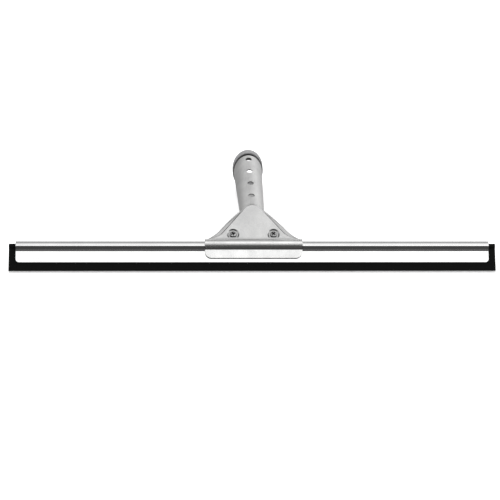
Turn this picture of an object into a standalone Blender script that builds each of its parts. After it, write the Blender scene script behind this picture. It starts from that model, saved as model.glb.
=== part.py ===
"""Window cleaning squeegee: a two-screw clamp handle, a slide-in channel and its rubber blade.

Everything is first modelled in the blade frame: X runs along the blade, Y from the rubber's
edge towards the handle, Z out of the front face. An empty then leans the whole assembly back
until the rubber's edge and the end collar both rest on the ground.
"""

from math import asin, atan2, ceil, cos, pi, radians, sin, sqrt

import bmesh
import bpy
from mathutils import Matrix, Vector

MM = 0.001
GAP = 0.3 * MM                      # clearance between pieces that touch

# Rubber blade and channel
RUBBER_LENGTH = 450 * MM
RUBBER_WEB = 2.6 * MM
RUBBER_EDGE = 2.6 * MM
BEAD_RADIUS = 2.5 * MM
EXPOSED = 7.7 * MM                  # rubber below the channel's legs
CHANNEL_LENGTH = 437 * MM
CHANNEL_HEIGHT = 20.2 * MM
CHANNEL_SHEET = 0.8 * MM
BULB_RADIUS = 5.0 * MM              # outer radius of the channel's rolled back
CHANNEL_BEND = 1.5 * MM             # bend between a leg and the bulb
LEG_HALF = 2.4 * MM                 # from the mid plane to a leg's outer face
CHANNEL_CORNER = 3.0 * MM
CLIP_LENGTH = 10 * MM
CLIP_SHEET = 0.4 * MM
CLIP_INSET = 1.5 * MM
CLIP_WRAP = radians(132)            # how far the clip reaches round the bead, each way

# Clamp: front plate, and the rear jaw of the handle shell
SHEET = 1.0 * MM
REAR_JAW_SHEET = 0.98 * MM
JAW_LENGTH = 90 * MM
JAW_CORNER = 5.9 * MM
LIP_END = 11.2 * MM                 # height of the jaws' lower edges above the rubber's edge
CREASE_ABOVE_BULB = 2.1 * MM
JAW_SLACK = 0.3 * MM                # extra room between the jaws' bulge and the channel's bulb
JAW_RISE = 1.9 * MM                 # the bulge's outermost line above the bulb's centre
JAW_LIP_DROP = 3.9 * MM             # from the bulb's centre down to the flat lip
JAW_BOW = 12 * MM                   # radius of the bulge below its outermost line
JAW_CROWN = 4.2 * MM                # height of the bulge above its outermost line
JAW_SQUARE = 2.5                    # 2 makes the crown round, more makes it squarer
CROWN_TURN = (82, 26, 8)            # first and last angle of the crown, and its step, in degrees
CREASE_ROOT = (1.0 * MM, 1.1 * MM)  # last point before the crease: below it, and off mid plane
PLATE_BEND = radians(19)            # between the blade and the clamp plate
PLATE_REACH = 35.5 * MM
PLATE_APEX_RADIUS = 8.9 * MM
PLATE_FOOT = 27.0 * MM              # half width of the straight edges at PLATE_FOOT_AT
PLATE_FOOT_AT = 7.0 * MM
PLATE_FLARE = 37.2 * MM             # half width where the plate meets the jaw
PLATE_TIP_HALF = 0.3 * MM           # half width left at the very tip of the plate
DISH_RADIUS = 5.8 * MM
DISH_FLOOR_RADIUS = 4.5 * MM
DISH_DEPTH = 0.95 * MM
DISH_FLARE = 0.1 * MM               # the cutter's slope runs this far past the face
DISH_START = 0.75 * MM              # the dish stops this far above the crease
BOSS_WALL = 0.55 * MM               # metal under the dish's floor
BOSS_BASE_RADIUS = 4.9 * MM
BOSS_START = 0.4 * MM               # the boss stops this far above the crease

# Screws and nuts
SCREW_SPACING = 37.5 * MM
SCREW_UP = 4.2 * MM                 # from the crease along the plate
SCREW_RADIUS = 2.0 * MM
SCREW_END = 7.0 * MM                # tip below the clamp's mid plane
HEAD_RADIUS = 3.0 * MM
HEAD_HEIGHT = 1.8 * MM
HEAD_DOME = 1.0 * MM                # height of the head's rounded top
HEAD_EDGE = 0.25 * MM               # chamfer under the head
TIP_CHAMFER = 0.5 * MM
RECESS_WIDTH = 1.2 * MM
RECESS_LENGTH = 4.0 * MM
RECESS_DEPTH = 1.3 * MM
CROSS_TURN = {"left": radians(20), "right": radians(52)}
NUT_FLATS = 7.0 * MM
NUT_HEIGHT = 3.2 * MM
NUT_TURN = radians(30)              # puts a flat beside the rear jaw

# Handle shell: the fan behind the clamp plate and the deep oval grip
RIM_LEVEL = 0.6 * MM                # the fan's rims above the clamp's mid plane
FLOOR_DEPTH = 3.0 * MM              # rim to the outside of the flat floor
NECK_START = 27 * MM                # where the front line starts to bend
NECK_ARC = 14 * MM
TUBE_BEND = radians(27.7)
TUBE_LENGTH = 88 * MM
NECK_HALF_WIDTH = 11.3 * MM
END_HALF_WIDTH = 13.9 * MM
NECK_DEPTH = 20 * MM
END_DEPTH = 39 * MM
TAPER_BLEND = 10 * MM               # over which the grip starts to deepen
FAN_SQUARE = 7                      # squareness of the section at the crease; 2 is an oval
RIM_CLEARANCE = 0.8 * MM            # around the clamp plate's apex
SIDE_CLEARANCE = 0.9 * MM           # beside its sloping edges
PAN_FLOOR_END = 20 * MM             # where the pan's floor stops following the shell's
PAN_TOP = 5 * MM                    # top of the pan's cutter, above the front line
NECK_BLEND = 0.5 * MM               # softness of the corner between fan and grip
TONGUE_UP = 0.25 * MM               # how far the rear jaw's sheet runs up past the crease
TONGUE_INSET = 0.25 * MM            # that sheet's edges inside the fan's
FAN_FLARE = 42 * MM                 # half width at the crease
FAN_FOOT = 31.0 * MM                # half width of the fan's straight sides at FAN_FOOT_AT
FAN_FOOT_AT = 9.2 * MM
NECK_AT = 33.5 * MM                 # where the straight sides meet the grip
STEP_LENGTH = 1.2 * MM              # over which the fan's floor drops below the crease
SWOOP_START = 12 * MM               # where the flat floor starts to deepen into the grip
HOLE_RADIUS = 3.0 * MM
HOLE_FIRST = 7.3 * MM               # from the collar's edge to the first hole
HOLE_PITCH = 22.5 * MM
HOLE_COUNT = 4

# End collar
COLLAR_LENGTH = 10.5 * MM
SEAM = 2.5 * MM                     # open groove between grip and collar
COLLAR_PROUD = 1.1 * MM
COLLAR_CHAMFER = 0.4 * MM
SLEEVE_LENGTH = 5.0 * MM
SLEEVE_WALL = 1.2 * MM
SLEEVE_ROOT = 1.0 * MM              # how far the sleeve reaches into the collar
COLLAR_ROUND = 1.8 * MM             # rounding of the collar's outer rim

RING_POINTS = 56
MERGE = 0.001 * MM                  # closer points than this are one
OVERRUN = 2 * MM                    # how far cutters pass the faces they cut
HOLE_CUT = 5 * MM                   # reach of the drills, each way from the face

BULB_CENTRE = EXPOSED + CHANNEL_HEIGHT - BULB_RADIUS
CREASE = BULB_CENTRE + BULB_RADIUS + CREASE_ABOVE_BULB
MID_SHEET = GAP / 2 + SHEET / 2     # mid plane of the clamp to the middle of either sheet


def clear_scene():
    for obj in list(bpy.data.objects):
        bpy.data.objects.remove(obj, do_unlink=True)


def new_collection(name):
    collection = bpy.data.collections.new(name)
    bpy.context.scene.collection.children.link(collection)
    return collection


def material(name, colour, metallic, roughness):
    mat = bpy.data.materials.new(name)
    mat.use_nodes = True
    shader = mat.node_tree.nodes["Principled BSDF"]
    shader.inputs["Base Color"].default_value = (*colour, 1)
    shader.inputs["Metallic"].default_value = metallic
    shader.inputs["Roughness"].default_value = roughness
    return mat


def add_object(name, bm, collection, mat=None):
    """Turn a bmesh into a smooth-shaded object with its faces pointing out."""
    bmesh.ops.recalc_face_normals(bm, faces=bm.faces)
    mesh = bpy.data.meshes.new(name)
    bm.to_mesh(mesh)
    bm.free()
    mesh.shade_smooth()
    mesh.set_sharp_from_angle(angle=radians(35))
    obj = bpy.data.objects.new(name, mesh)
    collection.objects.link(obj)
    if mat:
        mesh.materials.append(mat)
    return obj


def combine(obj, other, operation):
    """Apply a Boolean of obj with other, which becomes a hidden guide."""
    other.hide_render = True
    other.display_type = "WIRE"
    modifier = obj.modifiers.new(f"{operation.lower()} {other.name}", "BOOLEAN")
    modifier.operation = operation
    modifier.object = other


# Places along the handle ---------------------------------------------------------------------

def plate_frame():
    """Blade frame to clamp frame: origin on the crease, Y up the plate, Z out of its face."""
    return Matrix.Translation((0, CREASE, 0)) @ Matrix.Rotation(-PLATE_BEND, 4, "X")


def front_line(distance):
    """Point and outward normal of the handle's front line, in the clamp frame (Y, Z)."""
    radius = NECK_ARC / TUBE_BEND
    turn = min(max((distance - NECK_START) / radius, 0), TUBE_BEND)
    straight = max(distance - NECK_START - NECK_ARC, 0)
    along = min(distance, NECK_START) + radius * sin(turn) + straight * cos(turn)
    drop = radius * (1 - cos(turn)) + straight * sin(turn)
    point = Vector((0, along, RIM_LEVEL - drop))
    return point, Vector((0, sin(turn), cos(turn)))


def ease(x):
    x = min(max(x, 0), 1)
    return x * x * (3 - 2 * x)


def mix(a, b, t):
    return a + (b - a) * t


def fan_half_width(distance):
    """Half width of the shell: a flare at the crease, straight sides, then the grip."""
    slope = (FAN_FOOT - NECK_HALF_WIDTH) / (NECK_AT - FAN_FOOT_AT)
    if distance < FAN_FOOT_AT:
        t = 1 - distance / FAN_FOOT_AT
        straight = slope * FAN_FOOT_AT
        return FAN_FOOT + straight * t + (FAN_FLARE - FAN_FOOT - straight) * t ** 2
    fan = FAN_FOOT - (distance - FAN_FOOT_AT) * slope
    grip = mix(NECK_HALF_WIDTH, END_HALF_WIDTH, (distance - NECK_AT) / (grip_end() - NECK_AT))
    return (fan + grip + sqrt((fan - grip) ** 2 + NECK_BLEND ** 2)) / 2


def fan_depth(distance):
    """Depth of the shell below its front line."""
    step = mix(RIM_LEVEL + MID_SHEET + SHEET / 2, FLOOR_DEPTH, ease(distance / STEP_LENGTH))
    swoop = ease((distance - SWOOP_START) / (NECK_START + NECK_ARC - SWOOP_START))
    past_neck = distance - NECK_START - NECK_ARC
    taper = (past_neck + sqrt(past_neck ** 2 + TAPER_BLEND ** 2) * swoop) / 2 / TUBE_LENGTH
    return step + swoop * (NECK_DEPTH - FLOOR_DEPTH) + max(taper, 0) * (END_DEPTH - NECK_DEPTH)


def grip_end():
    return NECK_START + NECK_ARC + TUBE_LENGTH


def plate_half_width(distance):
    """Half width of the clamp plate at a distance up from the crease."""
    centre = PLATE_REACH - PLATE_APEX_RADIUS
    run, rise = PLATE_FOOT, centre - PLATE_FOOT_AT
    side = atan2(rise, run) + asin(PLATE_APEX_RADIUS / sqrt(run ** 2 + rise ** 2))
    touch = centre + PLATE_APEX_RADIUS * cos(side)
    touch_half = PLATE_APEX_RADIUS * sin(side)
    if distance >= touch:
        return sqrt(max(PLATE_APEX_RADIUS ** 2 - (distance - centre) ** 2, 0))
    if distance >= PLATE_FOOT_AT:
        return mix(PLATE_FOOT, touch_half, (distance - PLATE_FOOT_AT) / (touch - PLATE_FOOT_AT))
    t = 1 - distance / PLATE_FOOT_AT
    straight = (PLATE_FOOT - touch_half) / (touch - PLATE_FOOT_AT) * PLATE_FOOT_AT
    return PLATE_FOOT + straight * t + (PLATE_FLARE - PLATE_FOOT - straight) * t ** 3


# Mesh builders -------------------------------------------------------------------------------

def oval_ring(distance, inset=0.0):
    """Section of the handle: top on the front line, growing from a flat box to an oval."""
    point, normal = front_line(distance)
    half_width = fan_half_width(distance) - inset
    half_depth = fan_depth(distance) / 2 - inset
    middle = point - normal * fan_depth(distance) / 2
    power = mix(FAN_SQUARE, 2, ease(distance / (NECK_START + NECK_ARC)))
    ring = []
    for i in range(RING_POINTS):
        angle = 2 * pi * i / RING_POINTS
        across, up = cos(angle), sin(angle)
        across = abs(across) ** (2 / power) * (1 if across > 0 else -1)
        up = abs(up) ** (2 / power) * (1 if up > 0 else -1)
        ring.append(middle + Vector((half_width * across, 0, 0)) + normal * half_depth * up)
    return ring


def loft(rings):
    """Closed mesh through rings of equal length, capped at both ends."""
    bm = bmesh.new()
    rows = [[bm.verts.new(point) for point in ring] for ring in rings]
    for low, high in zip(rows, rows[1:]):
        for i in range(len(low)):
            j = (i + 1) % len(low)
            bm.faces.new((low[i], low[j], high[j], high[i]))
    bm.faces.new(rows[0])
    bm.faces.new(rows[-1][::-1])
    return bm


def arc(centre, radius, start, end, step=radians(9)):
    """Points of an arc about centre, from start to end angle in radians."""
    count = max(2, ceil(abs(end - start) / step))
    angles = (mix(start, end, i / count) for i in range(count + 1))
    return [(centre[0] + radius * cos(a), centre[1] + radius * sin(a)) for a in angles]


def sheet_side(path, half):
    """Both sides of a bent strip: the path of (Y, Z) points offset by half its thickness."""
    points = [Vector(p) for p in path]
    offsets = []
    for i, point in enumerate(points):
        before = (point - points[i - 1]).normalized() if i else None
        after = (points[i + 1] - point).normalized() if i + 1 < len(points) else None
        tangents = [t for t in (before, after) if t]
        mean = sum(tangents, Vector((0, 0))).normalized()
        normal = Vector((-mean.y, mean.x))
        stretch = 1 / max(mean.dot(tangents[0]), 0.5)
        offsets.append(normal * half * stretch)
    return points, offsets


def lengths_along(path):
    """Distance travelled at each point of a path."""
    lengths = [0.0]
    for a, b in zip(path, path[1:]):
        lengths.append(lengths[-1] + (Vector(b) - Vector(a)).length)
    return lengths


def bent_sheet(path, thickness, half_width_at):
    """Solid of a formed sheet whose half width changes along its path of (Y, Z) points."""
    points, offsets = sheet_side(path, thickness / 2)
    rings = []
    for point, offset, travelled in zip(points, offsets, lengths_along(path)):
        half = half_width_at(travelled)
        low, high = point - offset, point + offset
        rings.append([Vector((side * half, edge.x, edge.y))
                      for side, edge in ((-1, low), (1, low), (1, high), (-1, high))])
    return loft(rings)


def prism(outline, length):
    """Solid of a closed (Y, Z) outline, centred along X."""
    bm = bmesh.new()
    bm.faces.new([bm.verts.new((-length / 2, y, z)) for y, z in outline])
    grown = bmesh.ops.extrude_face_region(bm, geom=bm.faces[:])["geom"]
    far_end = [item for item in grown if isinstance(item, bmesh.types.BMVert)]
    bmesh.ops.translate(bm, verts=far_end, vec=(length, 0, 0))
    return bm


def turned(profile, segments=40):
    """Solid of revolution about Z through (radius, height) points from axis to axis."""
    bm = bmesh.new()
    verts = [bm.verts.new((radius, 0, height)) for radius, height in profile]
    edges = [bm.edges.new(pair) for pair in zip(verts, verts[1:])]
    bmesh.ops.spin(bm, geom=[*verts, *edges], axis=(0, 0, 1), cent=(0, 0, 0),
                   angle=2 * pi, steps=segments)
    bmesh.ops.remove_doubles(bm, verts=bm.verts, dist=MERGE)
    return bm


def cylinder(radius, bottom, top, segments=32):
    bm = bmesh.new()
    bmesh.ops.create_cone(bm, cap_ends=True, segments=segments, radius1=radius, radius2=radius,
                          depth=top - bottom, matrix=Matrix.Translation((0, 0, (top + bottom) / 2)))
    return bm


def box(size, centre):
    bm = bmesh.new()
    bmesh.ops.create_cube(bm, size=1, matrix=Matrix.Translation(centre) @ Matrix.Diagonal((*size, 1)))
    return bm


# Blade and channel ---------------------------------------------------------------------------

def corner_steps(corner, count=5):
    """Distances from a sheet's end at which a rounded corner is sampled."""
    return [corner * (1 - cos(pi / 2 * i / count)) for i in range(count + 1)]


def rounded_half(half, corner, from_edge):
    """Half width of a sheet whose corner is rounded, at a distance from its edge."""
    if from_edge >= corner:
        return half
    return half - corner + sqrt(max(corner ** 2 - (corner - from_edge) ** 2, 0))


def channel_path():
    """Middle of the channel's sheet, from one leg's edge over the bulb to the other's."""
    leg = LEG_HALF - CHANNEL_SHEET / 2
    radius = BULB_RADIUS - CHANNEL_SHEET / 2
    reach = sqrt((radius + CHANNEL_BEND) ** 2 - (leg + CHANNEL_BEND) ** 2)
    meet = atan2(leg + CHANNEL_BEND, -reach)
    bend = arc((BULB_CENTRE - reach, leg + CHANNEL_BEND), CHANNEL_BEND, -pi / 2, meet - pi)
    front = [(EXPOSED + step, leg) for step in corner_steps(CHANNEL_CORNER)] + bend
    bulb = arc((BULB_CENTRE, 0), radius, meet, -meet)
    return front + bulb[1:-1] + [(y, -z) for y, z in reversed(front)]


def make_channel(collection, mat):
    path = channel_path()
    total = lengths_along(path)[-1]

    def half_width(travelled):
        return rounded_half(CHANNEL_LENGTH / 2, CHANNEL_CORNER, min(travelled, total - travelled))

    return add_object("channel", bent_sheet(path, CHANNEL_SHEET, half_width), collection, mat)


def make_rubber(collection, mat):
    """Blade with the round bead that the channel's bulb holds."""
    web, edge = RUBBER_WEB / 2, RUBBER_EDGE / 2
    meet = pi - atan2(web, sqrt(BEAD_RADIUS ** 2 - web ** 2))
    bead = arc((BULB_CENTRE, 0), BEAD_RADIUS, -meet, meet)
    outline = [(0, edge), (0, -edge), (EXPOSED - GAP, -web), *bead, (EXPOSED - GAP, web)]
    return add_object("rubber_blade", prism(outline, RUBBER_LENGTH), collection, mat)


def make_clip(side, collection, mat):
    """Spring clip over the rubber's bead, just inside one end of the channel."""
    radius = BEAD_RADIUS + GAP + CLIP_SHEET / 2
    path = arc((BULB_CENTRE, 0), radius, CLIP_WRAP, -CLIP_WRAP)
    bm = bent_sheet(path, CLIP_SHEET, lambda travelled: CLIP_LENGTH / 2)
    shift = CHANNEL_LENGTH / 2 - CLIP_INSET - CLIP_LENGTH / 2
    bmesh.ops.translate(bm, verts=bm.verts, vec=(shift if side == "right" else -shift, 0, 0))
    return add_object(f"rubber_clip_{side}", bm, collection, mat)


# Clamp ---------------------------------------------------------------------------------------

def jaw_path(facing):
    """Middle of a jaw's sheet: flat lip, bulge over the channel, then in to the crease."""
    outermost = BULB_CENTRE + JAW_RISE
    level = BULB_RADIUS + GAP + SHEET / 2 + JAW_SLACK
    spread = asin((JAW_RISE + JAW_LIP_DROP) / JAW_BOW)
    bow = arc((outermost, level - JAW_BOW), JAW_BOW, pi / 2 + spread, pi / 2, radians(6))
    crown = []
    first, last, step = CROWN_TURN
    for degrees in range(first, last - 1, -step):
        up, out = cos(radians(degrees)), sin(radians(degrees))
        size = (up ** JAW_SQUARE + out ** JAW_SQUARE) ** (-1 / JAW_SQUARE)
        crown.append((outermost + JAW_CROWN * up * size, level * out * size))
    lip = [(LIP_END + step, bow[0][1]) for step in corner_steps(JAW_CORNER)]
    below, off = CREASE_ROOT
    path = [*lip, *bow, *crown, (CREASE - below, off)]
    return [(y, z * facing) for y, z in path]


def to_blade(distance, level):
    """A point of the clamp frame as (Y, Z) in the blade frame."""
    point = plate_frame() @ Vector((0, distance, level))
    return point.y, point.z


def cut_at_crease(bm, start):
    """Cut away what a solid centred on a screw has nearer than start to the crease."""
    cut = bmesh.ops.bisect_plane(bm, geom=[*bm.verts, *bm.edges, *bm.faces], dist=MERGE,
                                 plane_co=(0, start - SCREW_UP, 0), plane_no=(0, -1, 0),
                                 clear_outer=True)["geom_cut"]
    rim = [item for item in cut if isinstance(item, bmesh.types.BMEdge)]
    bmesh.ops.holes_fill(bm, edges=rim)
    return bm


def make_clamp_plate(collection, cutters, mat):
    """Front plate: a rounded triangle that bends into the front jaw."""
    centre = PLATE_REACH - PLATE_APEX_RADIUS
    lower = [d * MM for d in (0.0, 1.2, 2.6, 4.6)] + [PLATE_FOOT_AT, 13 * MM, 19 * MM, 25 * MM]
    steps = 9
    upper = [centre + PLATE_APEX_RADIUS * sin(mix(radians(36), radians(88), i / steps))
             for i in range(steps + 1)]
    stations = lower + upper + [PLATE_REACH]
    jaw = jaw_path(1)
    path = jaw + [to_blade(d, MID_SHEET) for d in stations]
    shoulder_at, crease_at = lengths_along(path)[len(jaw) - 1:len(jaw) + 1]

    def half_width(travelled):
        if travelled <= shoulder_at + 1e-9:
            return rounded_half(JAW_LENGTH / 2, JAW_CORNER, travelled)
        return max(plate_half_width(travelled - crease_at), PLATE_TIP_HALF)

    plate = add_object("clamp_plate", bent_sheet(path, SHEET, half_width), collection, mat)
    face = GAP / 2 + SHEET
    floor = face - DISH_DEPTH
    for side in ("left", "right"):
        boss = cut_at_crease(turned([
            (0, floor - BOSS_WALL), (BOSS_BASE_RADIUS, floor - BOSS_WALL),
            (DISH_RADIUS, face - SHEET / 2), (0, face - SHEET / 2)]), BOSS_START)
        combine(plate, placed_on_plate(f"dish_boss_{side}", boss, side, cutters), "UNION")
        wall = (DISH_RADIUS - DISH_FLOOR_RADIUS) / DISH_DEPTH
        mouth = DISH_RADIUS + wall * DISH_FLARE
        dish = cut_at_crease(turned([
            (0, floor), (DISH_FLOOR_RADIUS, floor), (mouth, face + DISH_FLARE),
            (mouth, face + OVERRUN), (0, face + OVERRUN)]), DISH_START)
        combine(plate, placed_on_plate(f"dish_{side}", dish, side, cutters), "DIFFERENCE")
        hole = placed_on_plate(f"plate_hole_{side}", cylinder(
            SCREW_RADIUS + GAP, -2 * OVERRUN, 2 * OVERRUN), side, cutters)
        combine(plate, hole, "DIFFERENCE")
    return plate


def screw_place(side):
    """Clamp frame origin moved to one screw, in the blade frame."""
    across = SCREW_SPACING / 2 * (1 if side == "right" else -1)
    return plate_frame() @ Matrix.Translation((across, SCREW_UP, 0))


def placed_on_plate(name, bm, side, collection, mat=None):
    obj = add_object(name, bm, collection, mat)
    obj.matrix_world = screw_place(side)
    return obj


def make_screw(side, collection, cutters, mat):
    """Cross-recessed machine screw with a domed head."""
    seat = GAP / 2 + SHEET - DISH_DEPTH + GAP
    rim = seat + HEAD_HEIGHT - HEAD_DOME
    dome = [(HEAD_RADIUS * cos(radians(a)), rim + HEAD_DOME * sin(radians(a)))
            for a in range(0, 90, 15)]
    screw = placed_on_plate(f"screw_{side}", turned([
        (0, -SCREW_END), (SCREW_RADIUS - TIP_CHAMFER, -SCREW_END),
        (SCREW_RADIUS, -SCREW_END + TIP_CHAMFER),
        (SCREW_RADIUS, seat), (HEAD_RADIUS - HEAD_EDGE, seat), (HEAD_RADIUS, seat + HEAD_EDGE),
        *dome, (0, seat + HEAD_HEIGHT)]), side, collection, mat)
    top = seat + HEAD_HEIGHT
    for number in range(2):
        slot = box((RECESS_LENGTH, RECESS_WIDTH, RECESS_DEPTH + OVERRUN),
                   (0, 0, top - RECESS_DEPTH + (RECESS_DEPTH + OVERRUN) / 2))
        turn = CROSS_TURN[side] + number * pi / 2
        bmesh.ops.rotate(slot, verts=slot.verts, matrix=Matrix.Rotation(turn, 3, "Z"))
        cutter = placed_on_plate(f"recess_{side}_{number}", slot, side, cutters)
        combine(screw, cutter, "DIFFERENCE")
    return screw


def make_nut(side, collection, cutters, mat):
    """Hexagon nut against the back of the shell's flat floor."""
    top = RIM_LEVEL - FLOOR_DEPTH - GAP
    bm = cylinder(NUT_FLATS / sqrt(3), top - NUT_HEIGHT, top, segments=6)
    bmesh.ops.rotate(bm, verts=bm.verts, matrix=Matrix.Rotation(NUT_TURN, 3, "Z"))
    nut = placed_on_plate(f"nut_{side}", bm, side, collection, mat)
    bore = cylinder(SCREW_RADIUS + GAP, top - NUT_HEIGHT - OVERRUN, top + OVERRUN)
    combine(nut, placed_on_plate(f"nut_bore_{side}", bore, side, cutters), "DIFFERENCE")
    return nut


# Handle --------------------------------------------------------------------------------------

def in_clamp_frame(name, bm, collection, mat=None):
    obj = add_object(name, bm, collection, mat)
    obj.matrix_world = plate_frame()
    return obj


def neck_stations():
    """The bend, then the stretch over which the grip starts to deepen."""
    bend = [NECK_START + NECK_ARC * i / 8 for i in range(1, 9)]
    return bend + [bend[-1] + TAPER_BLEND * i / 2 for i in range(1, 5)]


def shell_stations():
    fan = [0.0, 0.6, 1.2, 2.4, 4.4, 6.6, 9.2, 12.0, 15.0, 18.0, 21.0, 23.0, 25.0]
    return [d * MM for d in fan] + neck_stations() + [grip_end()]


def pan_cutter():
    """Opens the fan's front for the clamp plate, down to the floor."""
    stations = [d * MM for d in (-2.0, 0.0, 0.6, 1.2, 2.4, 4.4, 7.0, 9.5, 12, 15, 18, 21, 24)]
    centre = PLATE_REACH - PLATE_APEX_RADIUS
    reach = PLATE_APEX_RADIUS + RIM_CLEARANCE
    arc_steps = 10
    arc_angles = [mix(radians(8), radians(89), i / arc_steps) for i in range(arc_steps + 1)]
    stations += [centre + reach * sin(a) for a in arc_angles]
    rings = []
    for distance in stations:
        inside = max(distance, 0)
        half = plate_half_width(inside) + SIDE_CLEARANCE
        if distance > centre + reach * sin(radians(42)):
            half = sqrt(max(reach ** 2 - (distance - centre) ** 2, RIM_CLEARANCE ** 2))
        if distance < 0:
            half = JAW_LENGTH
        floor = RIM_LEVEL - fan_depth(min(inside, PAN_FLOOR_END)) + SHEET
        rings.append([Vector((x, distance, z)) for x, z in
                      ((-half, floor), (half, floor), (half, PAN_TOP), (-half, PAN_TOP))])
    return loft(rings)


def bore_cutter():
    """Hollow of the grip, from inside the fan to past its end."""
    stations = [NECK_START - 7 * MM, NECK_START - 3.5 * MM, NECK_START]
    rings = [oval_ring(d, inset=SHEET) for d in stations + neck_stations() + [grip_end()]]
    _, normal = front_line(grip_end())
    along = Vector((0, normal.z, -normal.y))
    rings.append([point + along * OVERRUN for point in rings[-1]])
    return loft(rings)


def make_handle_shell(collection, cutters, mat):
    """Formed shell: rear jaw, flanged fan and deep oval grip in one piece."""
    rings = [oval_ring(d) for d in shell_stations()]
    shell = in_clamp_frame("handle_shell", loft(rings), collection, mat)
    combine(shell, in_clamp_frame("pan", pan_cutter(), cutters), "DIFFERENCE")
    combine(shell, in_clamp_frame("bore", bore_cutter(), cutters), "DIFFERENCE")

    jaw = jaw_path(-1)
    path = jaw + [to_blade(TONGUE_UP * i / 2, -MID_SHEET) for i in range(3)]
    crease_at = lengths_along(path)[len(jaw)]

    def half_width(travelled):
        if travelled < crease_at:
            return rounded_half(JAW_LENGTH / 2, JAW_CORNER, travelled)
        return fan_half_width(travelled - crease_at) - TONGUE_INSET

    jaw = add_object("rear_jaw", bent_sheet(path, REAR_JAW_SHEET, half_width), cutters)
    combine(shell, jaw, "UNION")
    for side in ("left", "right"):
        hole = cylinder(SCREW_RADIUS + GAP, -HOLE_CUT, HOLE_CUT)
        combine(shell, placed_on_plate(f"shell_hole_{side}", hole, side, cutters), "DIFFERENCE")
    for number in range(HOLE_COUNT):
        distance = grip_end() - HOLE_FIRST - number * HOLE_PITCH
        point, normal = front_line(distance)
        hole = cylinder(HOLE_RADIUS, -HOLE_CUT, HOLE_CUT)
        turn = Matrix.Rotation(atan2(-normal.y, normal.z), 4, "X")
        cutter = add_object(f"grip_hole_{number + 1}", hole, cutters)
        cutter.matrix_world = plate_frame() @ Matrix.Translation(point) @ turn
        combine(shell, cutter, "DIFFERENCE")
    return shell


def collar_ring(half_width, half_depth, past_end, shift=0.0):
    """Oval ring about the grip's axis, at a distance past the grip's end."""
    point, normal = front_line(grip_end())
    along = Vector((0, normal.z, -normal.y))
    middle = point - normal * (END_DEPTH / 2) + along * past_end
    angles = (2 * pi * i / RING_POINTS for i in range(RING_POINTS))
    return [middle + Vector((half_width * cos(a), 0, 0)) + normal * half_depth * sin(a)
            for a in angles]


def make_end_collar(collection, cutters, mat):
    """Plastic collar over the grip's open end, with a sleeve that plugs into it."""
    wide, deep = END_HALF_WIDTH, END_DEPTH / 2
    outer = [(COLLAR_PROUD - COLLAR_CHAMFER, SEAM), (COLLAR_PROUD, SEAM + COLLAR_CHAMFER)]
    start = COLLAR_LENGTH - COLLAR_ROUND
    turns = (0, 20, 40, 60, 78, 90)
    outer += [(COLLAR_PROUD - COLLAR_ROUND * (1 - cos(radians(a))),
               start + COLLAR_ROUND * sin(radians(a))) for a in turns]
    rings = [collar_ring(wide + grow, deep + grow, past) for grow, past in outer]
    collar = in_clamp_frame("end_collar", loft(rings), collection, mat)
    fit = SHEET + GAP
    sleeve = [oval_ring(grip_end() - SLEEVE_LENGTH, inset=fit), oval_ring(grip_end(), inset=fit),
              collar_ring(wide - fit, deep - fit, SEAM + SLEEVE_ROOT)]
    combine(collar, in_clamp_frame("sleeve", loft(sleeve), cutters), "UNION")
    opened = fit + SLEEVE_WALL
    mouth = [oval_ring(grip_end() - SLEEVE_LENGTH - OVERRUN, inset=opened),
             oval_ring(grip_end(), inset=opened),
             collar_ring(wide - opened, deep - opened, COLLAR_LENGTH + OVERRUN)]
    combine(collar, in_clamp_frame("mouth", loft(mouth), cutters), "DIFFERENCE")
    return collar


# Assembly ------------------------------------------------------------------------------------

def rest_on_ground(pieces, guides):
    """Lean the assembly until edge and collar touch the ground, centred over its footprint."""
    bpy.context.view_layer.update()
    depsgraph = bpy.context.evaluated_depsgraph_get()
    points = []
    for obj in pieces:
        evaluated = obj.evaluated_get(depsgraph)
        points += [evaluated.matrix_world @ v.co for v in evaluated.data.vertices]
    edge = Vector((0, 0, -RUBBER_EDGE / 2))
    lean = max(atan2(-(p.z - edge.z), p.y) for p in points if p.y > CREASE)
    turn = Matrix.Rotation(lean, 4, "X")
    turned_points = [turn @ p for p in points]
    low = min(p.z for p in turned_points)
    middle = (min(p.y for p in turned_points) + max(p.y for p in turned_points)) / 2
    stand = bpy.data.objects.new("squeegee_frame", None)
    bpy.context.scene.collection.objects.link(stand)
    for obj in [*pieces, *guides]:
        obj.parent = stand
    stand.matrix_world = Matrix.Translation((0, -middle, -low)) @ turn


def main():
    clear_scene()
    parts = new_collection("window_squeegee")
    cutters = new_collection("cutters")
    steel = material("stainless_steel", (0.62, 0.62, 0.61), 1.0, 0.3)
    polished = material("polished_channel", (0.68, 0.68, 0.68), 1.0, 0.18)
    fastener = material("screw_steel", (0.55, 0.55, 0.55), 1.0, 0.25)
    rubber = material("black_rubber", (0.012, 0.012, 0.013), 0.0, 0.55)
    plastic = material("grey_collar", (0.33, 0.33, 0.34), 0.0, 0.5)
    clip_steel = material("clip_steel", (0.6, 0.6, 0.6), 1.0, 0.35)
    pieces = [
        make_handle_shell(parts, cutters, steel),
        make_end_collar(parts, cutters, plastic),
        make_clamp_plate(parts, cutters, steel),
        make_channel(parts, polished),
        make_rubber(parts, rubber),
    ]
    for side in ("left", "right"):
        pieces.append(make_screw(side, parts, cutters, fastener))
        pieces.append(make_nut(side, parts, cutters, fastener))
        pieces.append(make_clip(side, parts, clip_steel))
    rest_on_ground(pieces, cutters.objects)


main()
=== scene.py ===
"""Looks of the window squeegee: brushed and rolled stainless steel, black rubber, soft studio light."""

from math import atan2, cos, pi, radians, sin

import bpy
from mathutils import Matrix, Vector


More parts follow.
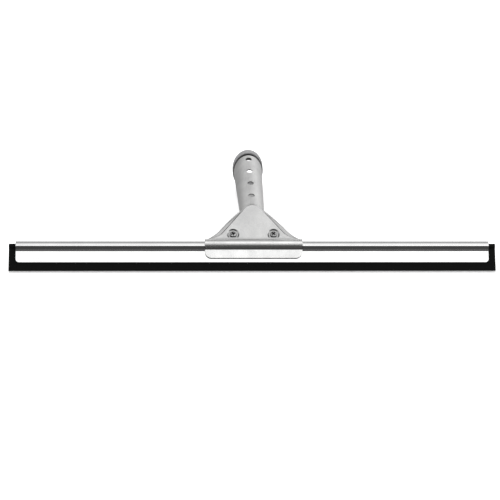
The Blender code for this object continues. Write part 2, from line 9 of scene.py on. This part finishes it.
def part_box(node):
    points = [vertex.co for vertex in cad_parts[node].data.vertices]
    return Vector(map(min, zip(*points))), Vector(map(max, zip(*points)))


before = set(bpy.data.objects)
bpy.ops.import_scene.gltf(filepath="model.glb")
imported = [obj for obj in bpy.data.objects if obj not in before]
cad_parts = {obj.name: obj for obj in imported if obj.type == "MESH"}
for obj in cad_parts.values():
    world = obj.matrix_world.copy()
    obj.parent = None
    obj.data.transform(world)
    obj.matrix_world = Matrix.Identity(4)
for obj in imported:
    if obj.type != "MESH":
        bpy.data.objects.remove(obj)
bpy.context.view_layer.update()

# Camera
ELEVATION = radians(32.92)
AZIMUTH = radians(-3.4)
DISTANCE = 1.6
VIEW_WIDTH = 0.4621                 # width of the view at the blade, in metres
SENSOR = 36.0
AIM_LEFT = 0.0033                   # the blade's middle stands right of the view's middle
AIM_UP = 0.0068

# Studio: brightness against angle over the top, from below in front (-90) through the front
# horizon (0), overhead (90) and the back horizon (180)
SKY = (
    (-180, 0.60), (-90, 0.30), (-55, 0.16), (-28, 0.08), (0, 0.06), (26, 0.07), (40, 0.16),
    (49, 1.2), (57, 1.8), (74, 1.0), (92, 0.94), (108, 0.86), (117, 0.25), (136, 0.10),
    (143, 0.95), (150, 1.22), (162, 1.0), (172, 0.70), (180, 0.60),
)
SKY_LEFT, SKY_RIGHT = 0.55, 1.14    # the studio is brighter on the right
SIDE_BELOW, SIDE_ABOVE = 0.40, 0.85 # brightness straight out to either side
SIDE_FALLOFF = 4.0                  # how sharply the sides' own brightness sets in
LIGHT_PLACE = Vector((-0.25, 0.75, 1.3))
LIGHT_SIZE = (1.6, 1.2)
LIGHT_WATTS = 20
FLOOR_SIZE = 30.0
FLOOR_DROP = 0.0002                 # keeps the floor clear of what rests on it
FLOOR_GLOW = 0.38                   # lifts the floor's shadows, as on a lit studio table
PALE = (0.93, 0.93, 0.93)

PAINTED_SHADE = (0.08, 0.08, 0.08)          # painted shade: the colour that surfaces deep in gaps and recesses are darkened towards
CLOUDS = (60, 60, 60)               # patches of wear per metre on the steel
LINE_SPACING = 0.23                 # density of the deeper lines against the fine scratches
CORNER = radians(50)                # edges sharper than this are slightly rounded


def node_box(name):
    low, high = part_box(name)
    return Vector(low), Vector(high)


# Node building -------------------------------------------------------------------------------

class Nodes:
    """Adds and joins the nodes of one tree."""

    def __init__(self, tree):
        self.tree = tree

    def add(self, kind, **settings):
        node = self.tree.nodes.new(kind)
        for key, value in settings.items():
            setattr(node, key, value)
        return node

    def join(self, source, target):
        self.tree.links.new(source, target)

    def feed(self, value, socket):
        """Join a socket, or set a plain number."""
        if isinstance(value, (int, float)):
            socket.default_value = value
        else:
            self.join(value, socket)

    def combine(self, operation, a, b=0.0):
        node = self.add("ShaderNodeMath", operation=operation)
        self.feed(a, node.inputs[0])
        self.feed(b, node.inputs[1])
        return node.outputs[0]

    def span(self, value, low, high, start=0.3, end=0.7, shape="LINEAR"):
        """Map a value from start..end to low..high."""
        node = self.add("ShaderNodeMapRange", interpolation_type=shape)
        for name, level in zip(("From Min", "From Max", "To Min", "To Max"),
                               (start, end, low, high)):
            node.inputs[name].default_value = level
        self.join(value, node.inputs["Value"])
        return node.outputs["Result"]

    def blend(self, factor, a, b):
        """Blend between two numbers or number sockets."""
        node = self.add("ShaderNodeMix", data_type="FLOAT")
        for name, value in (("Factor", factor), ("A", a), ("B", b)):
            self.feed(value, node.inputs[name])
        return node.outputs["Result"]


class Surface(Nodes):
    """Nodes of one material, with its Principled shader."""

    def __init__(self, name):
        self.mat = bpy.data.materials.new(name)
        self.mat.use_nodes = True
        super().__init__(self.mat.node_tree)
        self.shader = self.tree.nodes["Principled BSDF"]
        self.place = self.add("ShaderNodeTexCoord").outputs["Object"]

    def noise(self, grain, detail=4.0, turn=(0, 0, 0)):
        """Noise with the given number of features per metre along each axis."""
        mapping = self.add("ShaderNodeMapping")
        mapping.inputs["Rotation"].default_value = turn
        self.join(self.place, mapping.inputs["Vector"])
        scaling = self.add("ShaderNodeVectorMath", operation="MULTIPLY")
        scaling.inputs[1].default_value = grain
        self.join(mapping.outputs["Vector"], scaling.inputs[0])
        noise = self.add("ShaderNodeTexNoise")
        noise.inputs["Scale"].default_value = 1.0
        noise.inputs["Detail"].default_value = detail
        self.join(scaling.outputs["Vector"], noise.inputs["Vector"])
        return noise.outputs["Fac"]

    def crevice(self, reach, closed, opened):
        """0 where surfaces crowd within reach, 1 on open faces: the mask for painted shade."""
        node = self.add("ShaderNodeAmbientOcclusion", samples=8)
        node.inputs["Distance"].default_value = reach
        return self.span(node.outputs["AO"], 0, 1, closed, opened)

    def tint(self, factor, dark, light):
        node = self.add("ShaderNodeMix", data_type="RGBA")
        node.inputs["A"].default_value = (*dark, 1)
        node.inputs["B"].default_value = (*light, 1)
        self.join(factor, node.inputs["Factor"])
        return node.outputs["Result"]

    def shaded(self, colour, reach, closed=0.25, opened=0.85):
        """Paint shade into a colour: darken it towards the painted shade colour in crevices, where
        surfaces crowd.
        """
        product = self.add("ShaderNodeVectorMath", operation="MULTIPLY")
        self.join(colour, product.inputs[0])
        self.join(self.tint(self.crevice(reach, closed, opened), PAINTED_SHADE, (1, 1, 1)),
                  product.inputs[1])
        return product.outputs["Vector"]

    def bump(self, height, depth):
        node = self.add("ShaderNodeBump")
        node.inputs["Distance"].default_value = depth
        self.join(height, node.inputs["Height"])
        self.join(node.outputs["Normal"], self.shader.inputs["Normal"])

    def put(self, name, value):
        """Join a socket to the shader, or set a plain number on it."""
        self.feed(value, self.shader.inputs[name])


# Camera, floor and light ---------------------------------------------------------------------

def add_camera():
    """Camera in front of the blade, a little to its left, rolled so that the blade is level."""
    low, high = node_box("rubber_blade")
    back = Vector((sin(AZIMUTH) * cos(ELEVATION), -cos(AZIMUTH) * cos(ELEVATION),
                   sin(ELEVATION)))
    right = (-back).cross(Vector((0, 0, 1))).normalized()
    up = right.cross(-back)
    roll = atan2(up.x, right.x)
    right, up = right * cos(roll) + up * sin(roll), up * cos(roll) - right * sin(roll)
    target = (low + high) / 2 - right * AIM_LEFT + up * AIM_UP
    data = bpy.data.cameras.new("camera")
    data.sensor_width = SENSOR
    data.lens = SENSOR * DISTANCE / VIEW_WIDTH
    camera = bpy.data.objects.new("camera", data)
    turn = Matrix((right, up, back)).transposed().to_4x4()
    camera.matrix_world = Matrix.Translation(target + back * DISTANCE) @ turn
    bpy.context.scene.collection.objects.link(camera)
    bpy.context.scene.camera = camera


def sky_ramp(n, angle):
    """Brightness of the studio at an angle in radians over the top."""
    ramp = n.add("ShaderNodeValToRGB")
    elements = ramp.color_ramp.elements
    while len(elements) > 1:
        elements.remove(elements[-1])
    for number, (degrees, level) in enumerate(SKY):
        position = (degrees + 180) / 360
        element = elements[0] if number == 0 else elements.new(position)
        element.position = position
        element.color = (level, level, level, 1)
    n.join(n.span(angle, 0, 1, -pi, pi), ramp.inputs["Fac"])
    return ramp.outputs["Color"]


def add_world():
    """Soft studio: bright high in front, dark low in front, and dimmer towards the left."""
    world = bpy.data.worlds.new("studio")
    world.use_nodes = True
    n = Nodes(world.node_tree)
    split = n.add("ShaderNodeSeparateXYZ")
    n.join(n.add("ShaderNodeTexCoord").outputs["Generated"], split.inputs["Vector"])
    x, y, z = (split.outputs[axis] for axis in "XYZ")
    over = sky_ramp(n, n.combine("ARCTAN2", z, n.combine("MULTIPLY", y, -1.0)))
    aside = n.combine("POWER", n.combine("ABSOLUTE", x), SIDE_FALLOFF)
    level = n.blend(aside, over, n.span(z, SIDE_BELOW, SIDE_ABOVE, -0.6, 0.6, "SMOOTHSTEP"))
    level = n.combine("MULTIPLY", level, n.span(x, SKY_LEFT, SKY_RIGHT, -0.8, 0.8))
    n.join(level, world.node_tree.nodes["Background"].inputs["Color"])
    bpy.context.scene.world = world


def add_floor():
    """Pale seamless floor, kept out of the metal's reflections."""
    mesh = bpy.data.meshes.new("floor")
    corners = [(x * FLOOR_SIZE, y * FLOOR_SIZE, -FLOOR_DROP)
               for x, y in ((-1, -1), (1, -1), (1, 1), (-1, 1))]
    mesh.from_pydata(corners, [], [(0, 1, 2, 3)])
    floor = bpy.data.objects.new("floor", mesh)
    bpy.context.scene.collection.objects.link(floor)
    mat = bpy.data.materials.new("floor")
    mat.use_nodes = True
    shader = mat.node_tree.nodes["Principled BSDF"]
    shader.inputs["Base Color"].default_value = (*PALE, 1)
    shader.inputs["Roughness"].default_value = 1.0
    shader.inputs["Specular IOR Level"].default_value = 0.0
    shader.inputs["Emission Color"].default_value = (*PALE, 1)
    shader.inputs["Emission Strength"].default_value = FLOOR_GLOW
    mesh.materials.append(mat)
    floor.visible_glossy = False


def add_light():
    """Large soft light above and behind, which shows in no reflection."""
    data = bpy.data.lights.new("overhead", "AREA")
    data.shape = "RECTANGLE"
    data.size, data.size_y = LIGHT_SIZE
    data.energy = LIGHT_WATTS
    light = bpy.data.objects.new("overhead", data)
    light.location = LIGHT_PLACE
    light.rotation_euler = (-LIGHT_PLACE).to_track_quat("-Z", "Y").to_euler()
    light.visible_glossy = False
    bpy.context.scene.collection.objects.link(light)


# Materials -----------------------------------------------------------------------------------

def brushed(name, dark, light, rough, grain, depth=0.000004, reach=0.0016, shade=(0.25, 0.85)):
    """Stainless steel with fine parallel scratches, cloudy patches and a few deeper lines, and painted
    shade in its crevices.
    """
    n = Surface(name)
    scratches = n.noise(grain, detail=6.0)
    lines = n.noise(tuple(g * LINE_SPACING for g in grain), detail=2.0)
    clouds = n.noise(CLOUDS, detail=3.0)
    wear = n.combine("ADD", n.combine("MULTIPLY", scratches, 0.55),
                     n.combine("MULTIPLY", clouds, 0.45))
    steel = n.tint(n.span(wear, 0, 1, 0.35, 0.65), dark, light)
    # painted shade: the steel's colour is darkened where other surfaces crowd within reach
    n.put("Base Color", n.shaded(steel, reach, *shade))
    n.put("Metallic", 1.0)
    n.put("Roughness", n.span(wear, rough[1], rough[0], 0.35, 0.65))
    n.bump(n.combine("ADD", scratches, lines), depth)
    return n.mat


def rubber():
    """Dense black rubber with faint moulding lines along its length and a dusty bloom."""
    n = Surface("black_rubber")
    lines = n.noise((8, 900, 900), detail=3.0)
    bloom = n.noise((90, 260, 260), detail=5.0)
    n.put("Base Color", n.tint(n.span(bloom, 0, 1), (0.0015,) * 3, (0.004,) * 3))
    n.put("Roughness", n.span(bloom, 0.5, 0.72))
    n.put("Specular IOR Level", 0.12)
    n.bump(n.combine("ADD", lines, bloom), 0.00003)
    return n.mat


def plastic():
    """Grey moulded collar with a fine slanted grain, and painted shade darkening it down in its groove.
    """
    n = Surface("collar_plastic")
    grain = n.noise((900, 240, 900), turn=(0, 0, radians(35)))
    clouds = n.noise((200, 200, 200))
    grey = n.tint(n.span(grain, 0, 1), (0.20, 0.20, 0.21), (0.34, 0.34, 0.34))
    # painted shade: the grey is darkened in the groove and where the collar meets the tube
    n.put("Base Color", n.shaded(grey, 0.003, 0.45, 0.85))
    n.put("Roughness", n.span(clouds, 0.38, 0.55))
    n.bump(grain, 0.00006)
    return n.mat


def assign(node, mat, bevel):
    """Give a node its material and slightly rounded edges."""
    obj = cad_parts[node]
    obj.data.materials.clear()
    obj.data.materials.append(mat)
    rounding = obj.modifiers.new("edge", "BEVEL")
    rounding.width = bevel
    rounding.segments = 2
    rounding.limit_method = "ANGLE"
    rounding.angle_limit = CORNER


def dress():
    # reach and shade set the painted shade: on the handle a wide contact shadow beside the plate, on
    # the plate and screws darker dishes and recesses
    shell = brushed("stainless_handle", (0.70,) * 3, (0.88, 0.88, 0.87), (0.34, 0.46),
                    (4200, 240, 4200), depth=0.0000015, reach=0.007, shade=(0.45, 1.0))
    plate = brushed("stainless_plate", (0.70,) * 3, (0.93, 0.93, 0.92), (0.16, 0.28),
                    (3600, 170, 3600), reach=0.003, shade=(0.3, 0.95))
    channel = brushed("stainless_channel", (0.84,) * 3, (0.96,) * 3, (0.08, 0.15),
                      (26, 3600, 3600), depth=0.000002)
    screw = brushed("screw_steel", (0.34,) * 3, (0.64,) * 3, (0.16, 0.3), (1500,) * 3,
                    reach=0.0025, shade=(0.66, 1.0))
    clip = brushed("clip_steel", (0.5,) * 3, (0.7,) * 3, (0.25, 0.4), (600, 3000, 3000))
    assign("handle_shell", shell, 0.00015)
    assign("clamp_plate", plate, 0.0002)
    assign("channel", channel, 0.00015)
    assign("rubber_blade", rubber(), 0.00015)
    assign("end_collar", plastic(), 0.0003)
    for side in ("left", "right"):
        assign(f"screw_{side}", screw, 0.00012)
        assign(f"nut_{side}", screw, 0.0003)
        assign(f"rubber_clip_{side}", clip, 0.0001)


add_camera()
add_world()
add_floor()
add_light()
dress()
bpy.context.scene.view_settings.view_transform = "Standard"
